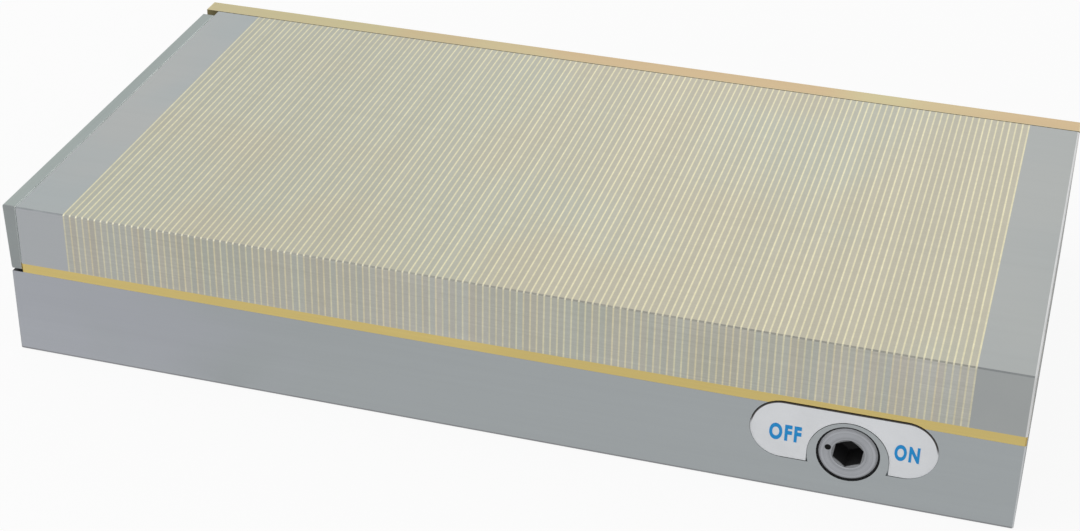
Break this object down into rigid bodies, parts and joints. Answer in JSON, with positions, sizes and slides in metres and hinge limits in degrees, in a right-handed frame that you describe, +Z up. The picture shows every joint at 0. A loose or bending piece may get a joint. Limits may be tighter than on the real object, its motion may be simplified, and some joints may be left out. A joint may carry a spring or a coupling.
{
  "type": "permanent magnetic chuck",
  "caption": "Flat fine-pole permanent magnetic chuck: laminated steel and brass face on a ground base, hex-key switch, height-set end stop and back rail.",
  "frame": {"origin": "middle of the flat underside, under the centre of the overall box", "axes": "+X along the face towards the switch end, +Y from the switch side to the back rail, +Z up out of the working face"},
  "size_m": [0.3042, 0.157, 0.0505],
  "materials": {
    "ground_steel": "surface ground",
    "stop_steel": "milled",
    "brass": "ground",
    "bronze": "turned",
    "shaft_steel": "turned",
    "screw_steel": "black oxide",
    "soft_iron": "ground",
    "magnet": "sintered",
    "rail_alloy": "milled",
    "seal_rubber": "matt",
    "label_white": "satin paint"
  },
  "bodies": {
    "chuck_base": {"base_body": "ground_steel", "rim_seal": "seal_rubber", "separator_plate": "brass", "main_pole_bars": "soft_iron", "end_block_left": "ground_steel", "end_block_right": "ground_steel", "pole_lamellae": "ground_steel", "brass_strips": "brass", "pole_plate_screws": "screw_steel", "locating_dowels": "shaft_steel", "end_stop_screws": "screw_steel", "back_rail_screws": "screw_steel", "shaft_bush": "bronze", "shaft_seal": "seal_rubber", "shaft_stop_screw": "screw_steel", "switch_label": "label_white"},
    "switch": {"switch_shaft": "shaft_steel"},
    "roller": {"eccentric_roller": "shaft_steel"},
    "magnet_pack": {"pack_front_rail": "rail_alloy", "pack_rear_rail": "rail_alloy", "flux_bars": "soft_iron", "magnets": "magnet"},
    "end_stop": {"end_stop_plate": "stop_steel"},
    "rail": {"back_rail": "brass"}
  },
  "joints": [
    {"name": "switch_turn", "type": "hinge", "parent": "chuck_base", "child": "switch", "pos_m": [0.1047, -0.0785, 0.0152], "axis": [0, 1, 0], "range_deg": [0, 180]},
    {"name": "magnet_slide", "type": "slide", "parent": "chuck_base", "child": "magnet_pack", "axis": [1, 0, 0], "range_m": [0, 0.006]},
    {"name": "roller_spin", "type": "hinge", "parent": "switch", "child": "roller", "pos_m": [0.1017, -0.0541, 0.0152], "axis": [0, 1, 0], "continuous": true},
    {"name": "end_stop_slide", "type": "slide", "parent": "chuck_base", "child": "end_stop", "axis": [0, 0, 1], "range_m": [0, 0.006]},
    {"name": "back_rail_slide", "type": "slide", "parent": "chuck_base", "child": "rail", "axis": [0, 0, 1], "range_m": [0, 0.006]}
  ],
  "couplings": [
    {"joint": "switch_turn", "follows": "magnet_slide", "rad_per_m": 523.59}
  ]
}
